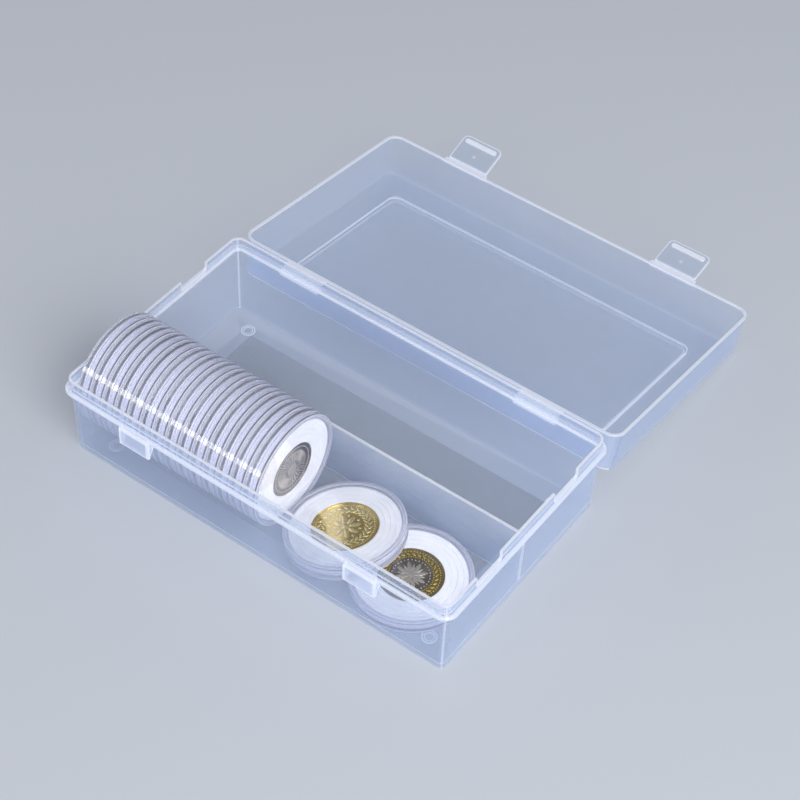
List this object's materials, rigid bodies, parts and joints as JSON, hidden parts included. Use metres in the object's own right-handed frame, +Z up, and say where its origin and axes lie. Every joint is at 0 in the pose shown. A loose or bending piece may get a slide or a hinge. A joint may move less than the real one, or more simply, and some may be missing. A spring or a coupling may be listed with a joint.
{
  "type": "coin capsule storage box",
  "caption": "Frosted hinged storage box with a divided tray and latch tabs, lying open, holding round clear coin capsules with foam rings and coins.",
  "frame": {"origin": "centre of the tray's underside, on the table plane", "axes": "+X along the channels to the end with the lying capsules, +Y from the latch side to the hinge and the open lid, +Z up"},
  "size_m": [0.1962, 0.2496, 0.0521],
  "materials": {
    "frosted_polypropylene": "frosted translucent moulding, bluish white",
    "clear_styrene": "clear polished moulding",
    "white_foam": "soft closed-cell foam",
    "gold_coin": "struck, lightly worn",
    "silver_coin": "struck, lightly worn"
  },
  "bodies": {
    "tray_body": {"tray": "frosted_polypropylene", "hinge_strap_left": "frosted_polypropylene", "hinge_strap_right": "frosted_polypropylene"},
    "lid_body": {"lid": "frosted_polypropylene"},
    "latch_left": {"latch_tab_left": "frosted_polypropylene"},
    "latch_right": {"latch_tab_right": "frosted_polypropylene"},
    "capsule_01": {"capsule_01_base": "clear_styrene", "capsule_01_cap": "clear_styrene", "capsule_01_foam": "white_foam"},
    "capsule_02": {"capsule_02_base": "clear_styrene", "capsule_02_cap": "clear_styrene", "capsule_02_foam": "white_foam"},
    "capsule_03": {"capsule_03_base": "clear_styrene", "capsule_03_cap": "clear_styrene", "capsule_03_foam": "white_foam"},
    "capsule_04": {"capsule_04_base": "clear_styrene", "capsule_04_cap": "clear_styrene", "capsule_04_foam": "white_foam"},
    "capsule_05": {"capsule_05_base": "clear_styrene", "capsule_05_cap": "clear_styrene", "capsule_05_foam": "white_foam"},
    "capsule_06": {"capsule_06_base": "clear_styrene", "capsule_06_cap": "clear_styrene", "capsule_06_foam": "white_foam"},
    "capsule_07": {"capsule_07_base": "clear_styrene", "capsule_07_cap": "clear_styrene", "capsule_07_foam": "white_foam"},
    "capsule_08": {"capsule_08_base": "clear_styrene", "capsule_08_cap": "clear_styrene", "capsule_08_foam": "white_foam"},
    "capsule_09": {"capsule_09_base": "clear_styrene", "capsule_09_cap": "clear_styrene", "capsule_09_foam": "white_foam"},
    "capsule_10": {"capsule_10_base": "clear_styrene", "capsule_10_cap": "clear_styrene", "capsule_10_foam": "white_foam"},
    "capsule_11": {"capsule_11_base": "clear_styrene", "capsule_11_cap": "clear_styrene", "capsule_11_foam": "white_foam"},
    "capsule_12": {"capsule_12_base": "clear_styrene", "capsule_12_cap": "clear_styrene", "capsule_12_foam": "white_foam"},
    "capsule_13": {"capsule_13_base": "clear_styrene", "capsule_13_cap": "clear_styrene", "capsule_13_foam": "white_foam"},
    "capsule_14": {"capsule_14_base": "clear_styrene", "capsule_14_cap": "clear_styrene", "capsule_14_foam": "white_foam", "coin_upright": "silver_coin"},
    "capsule_flat": {"capsule_flat_base": "clear_styrene", "capsule_flat_cap": "clear_styrene", "capsule_flat_foam": "white_foam", "coin_flat_ring": "gold_coin", "coin_flat_core": "silver_coin"},
    "capsule_leaning": {"capsule_leaning_base": "clear_styrene", "capsule_leaning_foam": "white_foam", "coin_leaning": "gold_coin"},
    "capsule_leaning_cap_body": {"capsule_leaning_cap": "clear_styrene"}
  },
  "joints": [
    {"name": "lid_hinge", "type": "hinge", "parent": "tray_body", "child": "lid_body", "pos_m": [0, 0.0591, 0.03603], "axis": [-1, 0, 0], "range_deg": [-187.55, 0]},
    {"name": "latch_left_bend", "type": "hinge", "parent": "lid_body", "child": "latch_left", "pos_m": [-0.0569, 0.1764, 0.0199], "axis": [-1, 0, 0], "range_deg": [-63, 80]},
    {"name": "latch_right_bend", "type": "hinge", "parent": "lid_body", "child": "latch_right", "pos_m": [0.0569, 0.1764, 0.0199], "axis": [-1, 0, 0], "range_deg": [-73, 70]},
    {"name": "capsule_01_lift", "type": "slide", "parent": "tray_body", "child": "capsule_01", "axis": [0, 0, 1], "range_m": [0, 0.045]},
    {"name": "capsule_02_lift", "type": "slide", "parent": "tray_body", "child": "capsule_02", "axis": [0, 0, 1], "range_m": [0, 0.045]},
    {"name": "capsule_03_lift", "type": "slide", "parent": "tray_body", "child": "capsule_03", "axis": [0, 0, 1], "range_m": [0, 0.045]},
    {"name": "capsule_04_lift", "type": "slide", "parent": "tray_body", "child": "capsule_04", "axis": [0, 0, 1], "range_m": [0, 0.045]},
    {"name": "capsule_05_lift", "type": "slide", "parent": "tray_body", "child": "capsule_05", "axis": [0, 0, 1], "range_m": [0, 0.045]},
    {"name": "capsule_06_lift", "type": "slide", "parent": "tray_body", "child": "capsule_06", "axis": [0, 0, 1], "range_m": [0, 0.045]},
    {"name": "capsule_07_lift", "type": "slide", "parent": "tray_body", "child": "capsule_07", "axis": [0, 0, 1], "range_m": [0, 0.045]},
    {"name": "capsule_08_lift", "type": "slide", "parent": "tray_body", "child": "capsule_08", "axis": [0, 0, 1], "range_m": [0, 0.045]},
    {"name": "capsule_09_lift", "type": "slide", "parent": "tray_body", "child": "capsule_09", "axis": [0, 0, 1], "range_m": [0, 0.045]},
    {"name": "capsule_10_lift", "type": "slide", "parent": "tray_body", "child": "capsule_10", "axis": [0, 0, 1], "range_m": [0, 0.045]},
    {"name": "capsule_11_lift", "type": "slide", "parent": "tray_body", "child": "capsule_11", "axis": [0, 0, 1], "range_m": [0, 0.045]},
    {"name": "capsule_12_lift", "type": "slide", "parent": "tray_body", "child": "capsule_12", "axis": [0, 0, 1], "range_m": [0, 0.045]},
    {"name": "capsule_13_lift", "type": "slide", "parent": "tray_body", "child": "capsule_13", "axis": [0, 0, 1], "range_m": [0, 0.045]},
    {"name": "capsule_14_lift", "type": "slide", "parent": "tray_body", "child": "capsule_14", "axis": [0, 0, 1], "range_m": [0, 0.045]},
    {"name": "capsule_flat_lift", "type": "slide", "parent": "tray_body", "child": "capsule_flat", "axis": [0, 0, 1], "range_m": [0, 0.045]},
    {"name": "capsule_leaning_lift", "type": "slide", "parent": "capsule_flat", "child": "capsule_leaning", "axis": [0, 0, 1], "range_m": [0, 0.045]},
    {"name": "capsule_leaning_cap_pull", "type": "slide", "parent": "capsule_leaning", "child": "capsule_leaning_cap_body", "axis": [-0.1785, 0, 0.9839], "range_m": [0, 0.0022]}
  ]
}
